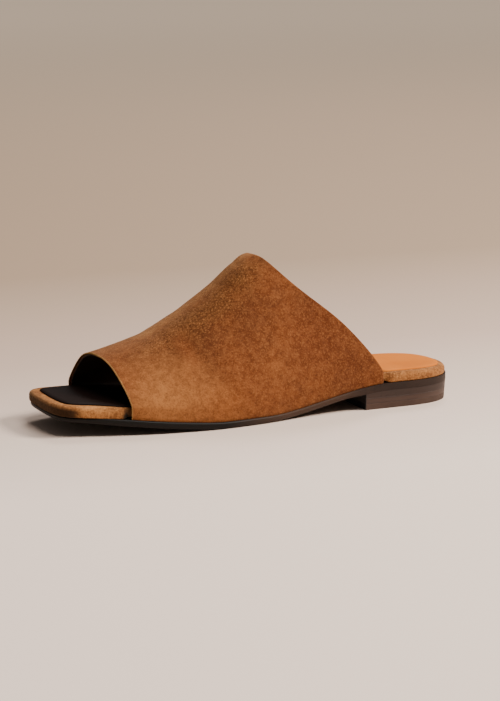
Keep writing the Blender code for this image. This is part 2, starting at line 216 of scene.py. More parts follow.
# The sock's edge is skived: it thins out over SOCK_SKIVE to a share of the sock's thickness. It lies
# SOCK_EDGE in from the footbed's edge, and further in at the toe.
SOCK_SKIVE = 3.2 * MM
SOCK_EDGE = SOCK_INSET + 0.5 * MM
SOCK_TOE_EDGE = 2.2 * MM
SOCK_TOE_RUN = 0.1
SKIVED_SHARE = 0.12


def interpolate(rows, along, column):
    """Smooth value of one column of a table at a station, by cubic Hermite spans."""
    last = len(rows) - 1
    i = 0
    while i < last - 1 and rows[i + 1][0] < along:
        i += 1
    xs = [row[0] for row in rows]
    ys = [row[column] for row in rows]

    def slope(j):
        if j == 0:
            return (ys[1] - ys[0]) / (xs[1] - xs[0])
        if j == last:
            return (ys[last] - ys[last - 1]) / (xs[last] - xs[last - 1])
        return (ys[j + 1] - ys[j - 1]) / (xs[j + 1] - xs[j - 1])

    span = xs[i + 1] - xs[i]
    t = min(1.0, max(0.0, (along - xs[i]) / span))
    h01 = t * t * (3 - 2 * t)
    return (
        (1 - h01) * ys[i]
        + h01 * ys[i + 1]
        + (t - 2 * t * t + t**3) * span * slope(i)
        + (t**3 - t * t) * span * slope(i + 1)
    )


def smoothstep(t):
    """0 to 1 with a soft start and end."""
    t = min(1.0, max(0.0, t))
    return t * t * (3 - 2 * t)


def catmull_rom(p0, p1, p2, p3, t):
    """A point of the centripetal Catmull-Rom span from p1 to p2."""
    knots = [0.0]
    for a, b in ((p0, p1), (p1, p2), (p2, p3)):
        knots.append(knots[-1] + math.sqrt((b - a).length))
    k0, k1, k2, k3 = knots
    k = k1 + t * (k2 - k1)
    a1 = p0 * ((k1 - k) / (k1 - k0)) + p1 * ((k - k0) / (k1 - k0))
    a2 = p1 * ((k2 - k) / (k2 - k1)) + p2 * ((k - k1) / (k2 - k1))
    a3 = p2 * ((k3 - k) / (k3 - k2)) + p3 * ((k - k2) / (k3 - k2))
    b1 = a1 * ((k2 - k) / (k2 - k0)) + a2 * ((k - k0) / (k2 - k0))
    b2 = a2 * ((k3 - k) / (k3 - k1)) + a3 * ((k - k1) / (k3 - k1))
    return b1 * ((k2 - k) / (k2 - k1)) + b2 * ((k - k1) / (k2 - k1))


def slanted(along, y):
    """X of a plan point: lines across the shoe slant towards the toe, where the inner side is longer."""
    slant = TOE_SLANT * smoothstep((along - SLANT_START) / (1 - SLANT_START))
    return along * LENGTH - slant * y / BALL_WIDTH


def plan_point(along, share):
    """A point of the plan at a station, at a share of half the ball's width from the centre line."""
    y = share * BALL_WIDTH / 2
    return Vector((slanted(along, y), y))


def plan_loop(per_span):
    """The plan as a closed loop: heel centre, outer side, toe centre, inner side."""
    outer = [plan_point(along, share) for along, share, _ in PLAN]
    inner = [plan_point(along, -share) for along, _, share in PLAN]
    controls = outer + inner[-2:0:-1]
    count = len(controls)
    loop = []
    for i in range(count):
        around = [controls[(i + j) % count] for j in (-1, 0, 1, 2)]
        loop += [catmull_rom(*around, step / per_span) for step in range(per_span)]
    return loop


def offset(loop, distance):
    """The loop moved outwards along its normals by distance(x, y), or inwards where that is negative."""
    moved = []
    for i, point in enumerate(loop):
        along = (loop[(i + 1) % len(loop)] - loop[i - 1]).normalized()
        moved.append(point + Vector((-along.y, along.x)) * distance(point.x, point.y))
    return moved


def halves(loop):
    """The outer and the inner side of a loop, each from heel to toe."""
    middle = len(loop) // 2
    return loop[: middle + 1], [loop[0]] + loop[: middle - 1 : -1]


def half_width(side, x):
    """Distance from the centre line to one side of a dense outline at x, by halving."""
    low, high = 0, len(side) - 1
    while high - low > 1:
        middle = (low + high) // 2
        if side[middle].x <= x:
            low = middle
        else:
            high = middle
    a, b = side[low], side[high]
    return abs(a.y + (b.y - a.y) * (x - a.x) / max(b.x - a.x, 1e-9))


def sole_floor(x):
    """Height of the outsole's underside: heel seat, shank, flat tread and toe spring."""
    tread_rear = TREAD_REAR * LENGTH
    tread_front = TREAD_FRONT * LENGTH
    if x <= tread_front:
        return HEEL_HEIGHT * (1 - smoothstep((x - SEAT_LENGTH) / (tread_rear - SEAT_LENGTH)))
    return TOE_SPRING * ((x - tread_front) / (LENGTH - tread_front)) ** SPRING_POWER


def sole_thickness(x):
    share = (x / LENGTH - SETBACK_START) / (1 - SETBACK_START)
    return SOLE_THICKNESS + (TOE_THICKNESS - SOLE_THICKNESS) * smoothstep(share)


def sole_top(x):
    return sole_floor(x) + sole_thickness(x)


def covered(x, y):
    """1 where the band covers the footbed's side, falling to 0 over NOTCH_RUN past each end."""
    reach = RIM_BULGE + NOTCH_CLEARANCE
    front = FRONT_EDGE_OUTER if y > 0 else FRONT_EDGE_INNER
    past = max(REAR_EDGE_SIDE * LENGTH - reach - x, x - front * LENGTH - reach, 0.0)
    return 1 - smoothstep(past / NOTCH_RUN)


def sole_margin(x):
    """How far the sole stands out past the plan, less at the toe."""
    toe = smoothstep((x / LENGTH - SETBACK_START) / (SETBACK_END - SETBACK_START))
    return SOLE_EDGE * (1 - toe) - TOE_SETBACK * toe


def footbed_edge(x, y, inset=0.0):
    """Offset from the plan to the footbed's edge, which steps in where the band covers it."""
    return -(GAP + WALL) * covered(x, y) - inset


def footbed_top(x, y):
    """Height of the footbed's upper face, hollowed under the heel."""
    along = smoothstep((HEEL_CUP_END - x / LENGTH) / (HEEL_CUP_END - HEEL_CUP_FULL))
    across = max(0.0, 1 - (y / HEEL_CUP_HALF_WIDTH) ** 2)
    return sole_top(x) + GAP + FOOTBED_THICKNESS - HEEL_CUP_DEPTH * along * across


# The shoe's own lengths start at the back of the heel, and the row's origin is under its middle
sole_low, sole_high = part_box("outsole")
SHIFT = Vector((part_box("heel_top_piece")[1][0] - HEEL_LENGTH, 0.0, 0.0))
fine_plan = plan_loop(PER_SPAN)
sole_ys = [point.y for point in offset(fine_plan, lambda x, y: sole_margin(x))]
SHIFT.y = (sole_low[1] + sole_high[1]) / 2 - (min(sole_ys) + max(sole_ys)) / 2


def new_piece(name, points, faces, material, slot, node, smooth=45, trims=()):
    """A mesh object at the row's origin that rides on the shoe and stands for a node. Each trim is
    another material and the numbers of the faces that have it."""
    mesh = bpy.data.meshes.new(name)
    mesh.from_pydata([tuple(p + SHIFT) for p in points], [], faces)
    body = bmesh.new()
    body.from_mesh(mesh)
    bmesh.ops.recalc_face_normals(body, faces=body.faces)
    if body.calc_volume(signed=True) < 0:
        bmesh.ops.reverse_faces(body, faces=body.faces)
    body.to_mesh(mesh)
    body.free()
    mesh.shade_smooth()
    mesh.set_sharp_from_angle(angle=math.radians(smooth))
    mesh.materials.append(material)
    for index, (trim, trimmed) in enumerate(trims, 1):
        mesh.materials.append(trim)
        for number in trimmed:
            mesh.polygons[number].material_index = index
    piece = bpy.data.objects.new(name, mesh)
    bpy.context.scene.collection.objects.link(piece)
    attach(piece, "root")
    if node:
        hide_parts(node)
    return piece


def slab(rings, columns, heights, closed=True):
    """Points and faces of a plate between outline rings, from its underside up. Its two flat faces are
    filled like ladders, with a number of columns. A loop that isn't closed is cut straight in front."""
    points = []
    starts = []
    for loop, height in rings:
        starts.append(len(points))
        points += [Vector((p.x, p.y, height(p.x, p.y))) for p in loop]
    count = len(rings[0][0])
    faces = []
    for low, high in zip(starts, starts[1:]):
        for i in range(count):
            j = (i + 1) % count
            faces.append((low + i, low + j, high + j, high + i))
    if closed:
        rungs = [(k, (count - k) % count) for k in range(count // 2 + 1)]
    else:
        rungs = [(0, 0)] + [(k, count - k) for k in range(1, count // 2 + 1)]
    for start, height in ((starts[0], heights[0]), (starts[-1], heights[1])):
        rows = []
        for outer, inner in rungs:
            ends = points[start + outer], points[start + inner]
            row = [start + outer]
            if outer != inner:
                for column in range(1, columns + 1):
                    p = ends[0].lerp(ends[1], column / (columns + 1))
                    row.append(len(points))
                    points.append(Vector((p.x, p.y, height(p.x, p.y))))
                row.append(start + inner)
            rows.append(row)
        for near, far in zip(rows, rows[1:]):
            if len(near) == 1:
                faces += [(near[0], a, b) for a, b in zip(far, far[1:])]
            elif len(far) == 1:
                faces += [(far[0], a, b) for a, b in zip(near, near[1:])]
            else:
                for i in range(len(near) - 1):
                    faces.append((near[i], near[i + 1], far[i + 1], far[i]))
    return points, faces


# ---- materials -------------------------------------------------------------------------------

# How far a tone's outline wavers, as a share of its radius
WAVER = 0.9

# Painted shade on the low half of the footbed's toe end, which faces away from the lamps: how the end slants,
# where the shade starts and over which run it grows towards the toe, its top at x = TOE_SHADE_AT and how that
# climbs, over which height it fades, all in mm, and its strength
TOE_END_SLANT = 0.19
TOE_SHADE_START = 116.8
TOE_SHADE_RUN = 6.5
TOE_SHADE_AT = 129
TOE_SHADE_TOP = 19.1
TOE_SHADE_CLIMB = 0.12
TOE_SHADE_FADE = 2.3
TOE_SHADE_STRENGTH = 0.93


class Graph:
    """Short calls for a material's nodes."""

    def __init__(self, name):
        self.material = bpy.data.materials.new(name)
        self.material.use_nodes = True
        self.tree = self.material.node_tree
        self.shader = self.tree.nodes["Principled BSDF"]
        self.position = self.node("ShaderNodeTexCoord").outputs["Object"]

    def node(self, kind, **values):
        made = self.tree.nodes.new(kind)
        for key, value in values.items():
            if hasattr(made, key):
                setattr(made, key, value)
            else:
                made.inputs[key].default_value = value
        return made

    def link(self, a, b):
        self.tree.links.new(a, b)

    def noise(self, scale, detail=3.0, roughness=0.55, stretch=None, distortion=0.0):
        source = self.position
        if stretch:
            mapping = self.node("ShaderNodeMapping")
            mapping.inputs["Scale"].default_value = stretch
            self.link(self.position, mapping.inputs["Vector"])
            source = mapping.outputs["Vector"]
        made = self.node("ShaderNodeTexNoise", Scale=scale, Detail=detail, Roughness=roughness,
                         Distortion=distortion)
        self.link(source, made.inputs["Vector"])
        return made.outputs["Fac"]

    def ramp(self, source, stops, interpolation="EASE"):
        made = self.node("ShaderNodeValToRGB")
        made.color_ramp.interpolation = interpolation
        elements = made.color_ramp.elements
        while len(elements) < len(stops):
            elements.new(0.5)
        for element, (place, colour) in zip(elements, stops):
            element.position = place
            element.color = (*colour, 1) if isinstance(colour, tuple) else (colour, colour, colour, 1)
        self.link(source, made.inputs["Fac"])
        return made.outputs["Color"]

    def rise(self, source, start, end):
        """0 up to the start, 1 from the end on."""
        return self.ramp(source, ((start, 0.0), (end, 1.0)))

    def fall(self, source, start, end):
        """1 up to the start, 0 from the end on."""
        return self.ramp(source, ((start, 1.0), (end, 0.0)))

    def mix(self, factor, a, b):
        made = self.node("ShaderNodeMix", data_type="RGBA")
        for socket, value in ((made.inputs[0], factor), (made.inputs[6], a), (made.inputs[7], b)):
            if hasattr(value, "links"):
                self.link(value, socket)
            elif isinstance(value, tuple):
                socket.default_value = (*value, 1)
            else:
                socket.default_value = value
        return made.outputs[2]

    def maths(self, operation, a, b=0.0, c=0.0, clamp=False):
        made = self.node("ShaderNodeMath", operation=operation, use_clamp=clamp)
        for socket, value in zip(made.inputs, (a, b, c)):
            if hasattr(value, "links"):
                self.link(value, socket)
            else:
                socket.default_value = value
        return made.outputs[0]

    def bump(self, height, strength, distance, below=None):
        made = self.node("ShaderNodeBump", Strength=strength, Distance=distance)
        self.link(height, made.inputs["Height"])
        if below is not None:
            self.link(below, made.inputs["Normal"])
        return made.outputs["Normal"]

    def near(self, place, radius, waver=None):
        """1 at a place given in mm, falling to 0 at the radius in mm. A noise makes the outline waver."""
        made = self.node("ShaderNodeVectorMath", operation="DISTANCE")
        self.link(self.position, made.inputs[0])
        made.inputs[1].default_value = tuple(c * MM for c in place)
        distance = made.outputs["Value"]
        if waver is not None:
            swing = WAVER * radius * MM
            distance = self.maths("MULTIPLY_ADD", waver, swing, self.maths("SUBTRACT", distance, swing / 2))
        share = self.maths("MULTIPLY_ADD", distance, -1 / (radius * MM), 1.0, clamp=True)
        return self.rise(share, 0.0, 1.0)

    def xyz(self):
        made = self.node("ShaderNodeSeparateXYZ")
        self.link(self.position, made.inputs[0])
        return made.outputs

    def finish(self, colour=None, roughness=None, normal=None, **values):
        for socket, value in (("Base Color", colour), ("Roughness", roughness), ("Normal", normal)):
            if value is not None:
                if hasattr(value, "links"):
                    self.link(value, self.shader.inputs[socket])
                else:
                    self.shader.inputs[socket].default_value = value
        for key, value in values.items():
            self.shader.inputs[key.replace("_", " ")].default_value = value
        return self.material


def linear(*screen):
    """A colour given as 0 to 255 screen values, in the linear values that shaders take."""
    shares = [value / 255 for value in screen]
    return tuple(c / 12.92 if c <= 0.04045 else ((c + 0.055) / 1.055) ** 2.4 for c in shares)


def toe_end(g):
    """Share of the painted shade on the low half of the footbed's toe end."""
    x, y, z = g.xyz()[:3]
    slanted_x = g.maths("MULTIPLY_ADD", y, TOE_END_SLANT, x)
    forward = g.maths("MULTIPLY_ADD", slanted_x, 1 / (TOE_SHADE_RUN * MM), -TOE_SHADE_START / TOE_SHADE_RUN,
                      clamp=True)
    top = g.maths("MULTIPLY_ADD", x, TOE_SHADE_CLIMB, (TOE_SHADE_TOP - TOE_SHADE_CLIMB * TOE_SHADE_AT) * MM)
    below = g.maths("MULTIPLY", g.maths("SUBTRACT", top, z), 1 / (TOE_SHADE_FADE * MM), clamp=True)
    return g.maths("MULTIPLY", g.maths("MULTIPLY", forward, below), TOE_SHADE_STRENGTH)


def suede(name, dark, middle, light, reach=1.0, tones=(), shades=(), end_shade=None):
    """Napped suede: brushed patches, mottling and fine light and dark fibres over a body colour. Reach is
    how strong the mottling is.

    A tone is a place and radius in mm, a colour, its strength, and whether the nap is speckled there. It
    lies under the fibres; some tones are painted light or shade. A shade is painted shade: a place and radius,
    a colour and its strength, and lies over them. The end shade is the colour of the painted shade on the
    footbed's toe end."""
    g = Graph(name)
    patches = g.noise(scale=40, detail=3, roughness=0.55, distortion=0.5)
    mottle = g.noise(scale=230, detail=4, roughness=0.68)
    nap = g.noise(scale=950, detail=3, roughness=0.7)
    fibres = g.noise(scale=2300, detail=2, roughness=0.7)
    body = g.mix(g.rise(patches, 0.36, 0.64), g.mix(0.45, dark, middle), middle)
    specked = 0.0
    for place, radius, colour, strength, specks in tones:
        share = g.near(place, radius, patches)
        body = g.mix(g.maths("MULTIPLY", share, strength), body, colour)
        if specks:
            specked = g.maths("MAXIMUM", share, specked)
    body = g.mix(g.rise(mottle, 0.36, 0.64), g.mix(0.30 * reach, body, dark), g.mix(0.13 * reach, body, light))
    light_strength = g.maths("MULTIPLY_ADD", specked, 0.35, 0.30 * reach)
    body = g.mix(g.maths("MULTIPLY", g.rise(nap, 0.52, 0.66), light_strength), body, light)
    dark_strength = g.maths("MULTIPLY_ADD", specked, 0.35, 0.35 * reach)
    deepest = tuple(c * 0.45 for c in dark)
    body = g.mix(g.maths("MULTIPLY", g.fall(nap, 0.34, 0.48), dark_strength), body, deepest)
    for place, radius, colour, strength in shades:
        body = g.mix(g.maths("MULTIPLY", g.near(place, radius), strength, clamp=True), body, colour)
    if end_shade is not None:
        body = g.mix(toe_end(g), body, end_shade)
    height = g.maths("ADD", g.maths("MULTIPLY", nap, 0.7), g.maths("MULTIPLY", fibres, 0.3))
    normal = g.bump(height, strength=0.6, distance=0.5 * MM,
                    below=g.bump(mottle, strength=0.4, distance=0.8 * MM))
    return g.finish(body, g.ramp(mottle, ((0.3, 0.96), (0.7, 0.86))), normal, Sheen_Weight=0.25,
                    Sheen_Roughness=0.45, Sheen_Tint=(0.80, 0.50, 0.26, 1), Specular_IOR_Level=0.15)


def leather(name, base, deep, roughness, grain=520, bump=0.25, streak=0.0, specular=0.45, tones=()):
    """Smooth leather: fine pores, faint clouds, long streaks for a cut edge, and listed tones.

    A tone is an axis (0 for X, 2 for Z), the two ends in mm of its growth along it, and its colour."""
    g = Graph(name)
    clouds = g.noise(scale=38, detail=3, roughness=0.5)
    pores = g.noise(scale=grain, detail=3, roughness=0.6)
    colour = g.mix(g.rise(clouds, 0.35, 0.68), base, g.mix(0.6, base, deep))
    colour = g.mix(g.maths("MULTIPLY", g.fall(pores, 0.30, 0.48), 0.35), colour, deep)
    axes = g.xyz()
    for axis, start, end, tone in tones:
        run = (end - start) * MM
        grown = g.maths("MULTIPLY_ADD", axes[axis], 1 / run, -start * MM / run, clamp=True)
        colour = g.mix(grown, colour, tone)
    normal = g.bump(pores, strength=bump, distance=0.3 * MM)
    if streak:
        lines = g.noise(scale=120, detail=2, roughness=0.5, stretch=(0.12, 0.12, 9.0))
        colour = g.mix(g.maths("MULTIPLY", g.rise(lines, 0.42, 0.62), streak), colour, deep)
        normal = g.bump(lines, strength=0.25, distance=0.3 * MM, below=normal)
    rough = g.maths("MULTIPLY_ADD", clouds, 0.25, roughness - 0.12)
    return g.finish(colour, rough, normal, Specular_IOR_Level=specular)


SUEDE_DARK = linear(78, 38, 15)
SUEDE_MIDDLE = linear(112, 59, 25)
SUEDE_LIGHT = linear(170, 112, 62)

# Tones of the band's nap: painted light low over the toes, as the floor's bounce gives, redder behind, and
# painted shade with real speckled nap on the upper band beside the crest
BAND_NAP_AND_PAINTED_LIGHT = (
    ((66, 38, 17), 46, linear(160, 102, 55), 0.90, False),
    ((28, 40, 14), 26, linear(142, 82, 38), 0.60, False),
    ((86, 24, 30), 22, linear(138, 78, 36), 0.50, False),
    ((-6, 32, 30), 17, linear(128, 73, 34), 0.55, False),
    ((50, 30, 33), 16, linear(130, 75, 35), 0.45, False),
    ((-36, 25, 48), 40, linear(100, 47, 19), 0.65, False),
    ((-62, 29, 24), 26, linear(94, 45, 19), 0.60, False),
    ((32, 21, 49), 14, linear(84, 40, 16), 0.60, False),
    ((12, 28, 45), 14, linear(88, 42, 17), 0.50, False),
    ((6, 7, 84), 18, linear(90, 55, 22), 0.70, True),
    ((22, 7, 71), 20, linear(92, 54, 22), 0.80, True),
    ((40, 8, 59), 20, linear(96, 56, 23), 0.75, True),
    ((58, 9, 49), 18, linear(108, 62, 27), 0.55, True),
)

# The footbed's wrap has a painted highlight along the toe's outer side, and painted shade at the toe's front
# and in the notch before the band
WRAP_PAINTED_LIGHT = (((106, 34, 16), 20, linear(186, 124, 68), 0.80, False),)
TOE_SHADE = linear(34, 21, 9)
NOTCH_SHADE = linear(14, 8, 4)
# Painted shade in the recess of the footbed's side before the band's edge
WRAP_SHADES = (
    ((87, 37, 11), 6.5, NOTCH_SHADE, 2.2),
    ((86, 36, 16.5), 5.5, NOTCH_SHADE, 2.2),
)

# A painted highlight lies in a thin lighter strip along the crest, given by the places along it in mm
CREST_LINE = (
    (-2, -4.0, 93.5),
    (3, -4.2, 90.5),
    (8, -4.4, 87.0),
    (14.5, -4.7, 81.5),
    (21, -5.0, 76.0),
    (27, -5.2, 71.0),
    (33, -5.4, 67.0),
    (39, -5.6, 63.0),
    (45, -5.8, 59.0),
    (51, -6.0, 55.5),
    (57, -6.2, 52.5),
    (63, -6.4, 49.5),
)
CREST_RADIUS = 8.5
CREST_PAINTED_HIGHLIGHT = tuple((place, CREST_RADIUS, linear(158, 104, 56), 0.42, False) for place in CREST_LINE)

# Painted shade: the hem is darker and greener where it crosses the crest
HEM_PAINTED_SHADE = (((96, -9, 42), 16, linear(122, 92, 44), 0.90, False),)

# The sock darkens under the band towards the toe: painted shade. The sole darkens towards the toe. The low lift
# is the lighter one, and the heel's straight front is painted nearly black as shade under the shank.
SOCK_PAINTED_SHADE = ((0, -10, 60, linear(20, 9, 6)),)
SOLE_TONES = ((0, -62, -50, linear(66, 48, 38)), (0, -12, 30, linear(13, 10, 8)))
LIFT_TONE = (2, 7.4, 6.4, linear(66, 47, 39))
# Painted shade: the heel's breast is coloured nearly black
BREAST_PAINTED_SHADE = (0, -65.4, -64.9, linear(16, 13, 12))

suede_material = suede("band_suede", SUEDE_DARK, SUEDE_MIDDLE, SUEDE_LIGHT, tones=BAND_NAP_AND_PAINTED_LIGHT + CREST_PAINTED_HIGHLIGHT)
# The hem's light suede is partly its own colour and partly a painted highlight along the toe edge
hem_and_highlight_material = suede("hem_suede_and_highlight", linear(120, 82, 42), linear(178, 132, 78), linear(206, 162, 106), 0.6,
                     tones=HEM_PAINTED_SHADE)
cut_material = suede("cut_suede", linear(40, 26, 10), linear(62, 42, 16), linear(92, 64, 28), 0.8)
wrap_material = suede("wrap_suede", linear(84, 44, 20), linear(148, 92, 46), linear(200, 142, 84), 1.5,
                      tones=WRAP_PAINTED_LIGHT, shades=WRAP_SHADES, end_shade=TOE_SHADE)
lining_material = leather("dark_lining", linear(30, 20, 14), linear(16, 11, 9), 0.6)
sock_material = leather("sock_leather", linear(194, 110, 36), linear(182, 99, 30), 0.65, bump=0.12,
                        specular=0.06, tones=SOCK_PAINTED_SHADE)
outsole_material = leather("outsole_edge", linear(48, 34, 28), linear(26, 19, 16), 0.55, bump=0.15,
                           specular=0.2, tones=SOLE_TONES)
stack_material = leather("heel_stack", linear(52, 36, 30), linear(38, 26, 22), 0.5, bump=0.15, streak=0.35,
                         specular=0.35, tones=(LIFT_TONE, BREAST_PAINTED_SHADE))
rubber_material = leather("heel_rubber", linear(72, 53, 44), linear(54, 40, 33), 0.65, grain=900, bump=0.2,
                          specular=0.3, tones=(BREAST_PAINTED_SHADE,))


# ---- outsole, heel, footbed and sock ----------------------------------------------------------


def low_radius(x):
    """Rounding of the sole's lower edge."""
    return max(interpolate(SOLE_EDGES, x / LENGTH, 1), LEAST_RADIUS) * MM


def high_radius(x):
    """Rounding of the sole's upper edge."""
    return max(interpolate(SOLE_EDGES, x / LENGTH, 2), LEAST_RADIUS) * MM


def quarter(steps):
    """Sines and cosines of the steps of a quarter turn."""
    angles = [math.pi / 2 * step / steps for step in range(steps + 1)]
    return [(math.sin(angle), math.cos(angle)) for angle in angles]


rings = []
for s, c in quarter(EDGE_STEPS):
    rings.append((offset(fine_plan, lambda x, y: sole_margin(x) - low_radius(x) * (1 - s)),
                  lambda x, y, c=c: sole_floor(x) + low_radius(x) * (1 - c)))
for s, c in quarter(EDGE_STEPS):
    rings.append((offset(fine_plan, lambda x, y: sole_margin(x) - high_radius(x) * (1 - c)),
                  lambda x, y, s=s: sole_top(x) - high_radius(x) * (1 - s)))
heights = (lambda x, y: sole_floor(x)), (lambda x, y: sole_top(x))
new_piece("sole_plate", *slab(rings, columns=7, heights=heights),
          outsole_material, "outsole_rubber", "outsole")


def heel_loop(inset):
    """The heel's outline: the back of the sole's outline, cut straight at the breast."""
    sides = []
    for side in halves(offset(fine_plan, lambda x, y: sole_margin(x) - inset)):
        kept = [p for p in side if p.x < HEEL_LENGTH - BREAST_CLEARANCE]
        after = side[len(kept)]
        t = (HEEL_LENGTH - kept[-1].x) / (after.x - kept[-1].x)
        sides.append(kept + [kept[-1].lerp(after, t)])
    return sides[0] + sides[1][:0:-1]


def heel_layer(name, low, high, material, slot, node):
    """One layer of the heel. Its edges are eased, so that a fine line shows between layers."""
    profile = (
        # inset, height, lift
        (LIFT_RADIUS, low, 0.0),
        (0.0, low, LIFT_RADIUS),
        (0.0, high, -LIFT_RADIUS),
        (LIFT_RADIUS, high, 0.0),
    )
    layer_rings = []
    for ease, height, lift in profile:
        inset = HEEL_INSET + HEEL_TAPER * (1 - height(0, 0) / HEEL_HEIGHT) + ease
        layer_rings.append((heel_loop(inset), lambda x, y, h=height, z=lift: h(x, y) + z))
    points, faces = slab(layer_rings, columns=5, heights=(low, high), closed=False)
    new_piece(name, points, faces, material, slot, node, smooth=30)


lift_base = TOP_PIECE_THICKNESS + GAP
wedge_base = lift_base + LOWER_LIFT_THICKNESS + GAP
glue = GAP / 2 - HEEL_SEAM / 2
heel_layer("heel_cap", lambda x, y: 0.0, lambda x, y: TOP_PIECE_THICKNESS + glue,
           rubber_material, "heel_rubber", "heel_top_piece")
heel_layer("heel_lift_low", lambda x, y: lift_base - glue, lambda x, y: lift_base + LOWER_LIFT_THICKNESS + glue,
           stack_material, "stacked_leather", "heel_lower_lift")
heel_layer("heel_lift_high", lambda x, y: wedge_base - glue, lambda x, y: sole_floor(x) - SEAT_SEAM,
           stack_material, "stacked_leather", "heel_upper_lift")


def rebated(x, y):
    """Height of the footbed's underside, which leaves room for the band's lasted margin."""
    return sole_top(x) + SEATED + (LASTING_THICKNESS + GAP) * covered(x, y)


rings = [(offset(fine_plan, lambda x, y: footbed_edge(x, y, UNDER_MARGIN)), rebated)]
for s, c in quarter(WRAP_STEPS):
    rings.append((offset(fine_plan, lambda x, y: footbed_edge(x, y, FOOTBED_BOTTOM_RADIUS * (1 - s))),
                  lambda x, y, c=c: rebated(x, y) + FOOTBED_BOTTOM_RADIUS * (1 - c)))
for s, c in quarter(WRAP_STEPS):
    rings.append((offset(fine_plan, lambda x, y: footbed_edge(x, y, FOOTBED_TOP_RADIUS * (1 - c))),
                  lambda x, y, s=s: footbed_top(x, y) - FOOTBED_TOP_RADIUS * (1 - s)))
new_piece("footbed_wrap", *slab(rings, columns=9, heights=(rebated, footbed_top)),
          wrap_material, "wrap_suede", "footbed")


def sock_edge(x, y):
    """Offset from the plan to the sock's edge, further in at the toe."""
    toe = smoothstep((x / LENGTH - SETBACK_START) / SOCK_TOE_RUN)
    return footbed_edge(x, y, SOCK_EDGE + SOCK_TOE_EDGE * toe)


def sock_height(x, y, share=1.0):
    """Height over the floor at a share of the sock's thickness."""
    under = footbed_top(x, y) + SEATED
    over = footbed_top(x, y) + GAP + SOCK_THICKNESS
    return under + (over - under) * share


def sock_under(x, y):
    return sock_height(x, y, 0.0)


rings = []
for s, c in quarter(SOCK_STEPS):
    rings.append((offset(fine_plan, lambda x, y: sock_edge(x, y) - SOCK_SKIVE * (1 - c)),
                  lambda x, y, share=SKIVED_SHARE + (1 - SKIVED_SHARE) * s: sock_height(x, y, share)))
rings.insert(0, (rings[0][0], sock_under))
new_piece("sock_cover", *slab(rings, columns=15, heights=(sock_under, sock_height)),
          sock_material, "sock_leather", "sock")


# ---- band -------------------------------------------------------------------------------------

sides = halves(plan_loop(DENSE))


def upper_point(share, angle):
    """A point of the band's outer face: share 0 to 1 from toe edge to rear edge, angle 0 to pi
    from the outer side over the crest to the inner side."""
    lift = max(0.0, math.sin(angle))
    inwards = (1 - math.cos(angle)) / 2
    front = FRONT_EDGE_OUTER + (FRONT_EDGE_INNER - FRONT_EDGE_OUTER) * inwards + FRONT_EDGE_BOW * lift
    rear = REAR_EDGE_SIDE + (REAR_EDGE_CREST - REAR_EDGE_SIDE) * lift**REAR_EDGE_POWER
    along = front + (rear - front) * share
    x = along * LENGTH
    crest_top = OPENING_HEIGHT + (INSTEP_HEIGHT - OPENING_HEIGHT) * interpolate(SECTIONS, along, 1)
    crest_y = -CREST_SHIFT * interpolate(SECTIONS, along, 2)
    side_top = sole_top(x) + GAP + SIDE_HEIGHT
    if angle <= math.pi / 2:
        reach = half_width(sides[0], x) - crest_y
        lean = interpolate(SECTIONS, along, 3)
    else:
        reach = -half_width(sides[1], x) - crest_y
        lean = interpolate(SECTIONS, along, 4)
    lean *= 1 - lift**CROWN_POWER
    aside = abs(math.cos(angle))
    y = crest_y + reach * ((1 - lean) * aside + lean * aside**2)
    rise = (1 - lean) * lift + lean * lift**2
    return Vector((x, y, side_top + (crest_top - side_top) * rise)), along


def crease(along, angle, point):
    """Height of the soft troughs and ridges at a place on the band."""
    total = 0.0
    for place, around, run, width, turn, depth in CREASES:
        dx = (along - place) * LENGTH
        dy = (angle - math.radians(around)) * ARCH_RADIUS
        c, s = math.cos(math.radians(turn)), math.sin(math.radians(turn))
        u, v = (dx * c + dy * s) / (run * MM / 2), (-dx * s + dy * c) / (width * MM / 2)
        total += depth * MM * math.exp(-(u * u + v * v))
    return total + noise.noise(point * WAVE_SCALE + Vector((SEED, 0, 0))) * WAVE_HEIGHT


def eased(from_edge, angle):
    """Rise of the band's face at a distance from its rear edge and an angle round the foot."""
    share = min(from_edge / EASE_RUN, 1.0)
    degrees = math.degrees(angle)
    ridge = math.exp(-((degrees - RIDGE_ANGLE) / RIDGE_SPREAD) ** 2) * math.sin(math.pi * share)
    shoulder = math.exp(-((degrees - SHOULDER_ANGLE) / SHOULDER_SPREAD) ** 2) * (1 - share) ** 2
    return EASE_RIDGE * ridge + EASE_SHOULDER * shoulder


def skirt(top, normal):
    """The band's side going on from its lowest point down to the sole, turned in at its foot."""
    foot_z = sole_top(top.x) + SKIRT_FOOT
    line = []
    for step in range(1, SKIRT + 1):
        t = step / SKIRT
        tuck = TUCK * max(0.0, (t - TUCK_START) / (1 - TUCK_START)) ** 2
        line.append((Vector((top.x, top.y, top.z + (foot_z - top.z) * t)) - normal * tuck, normal))
    return line


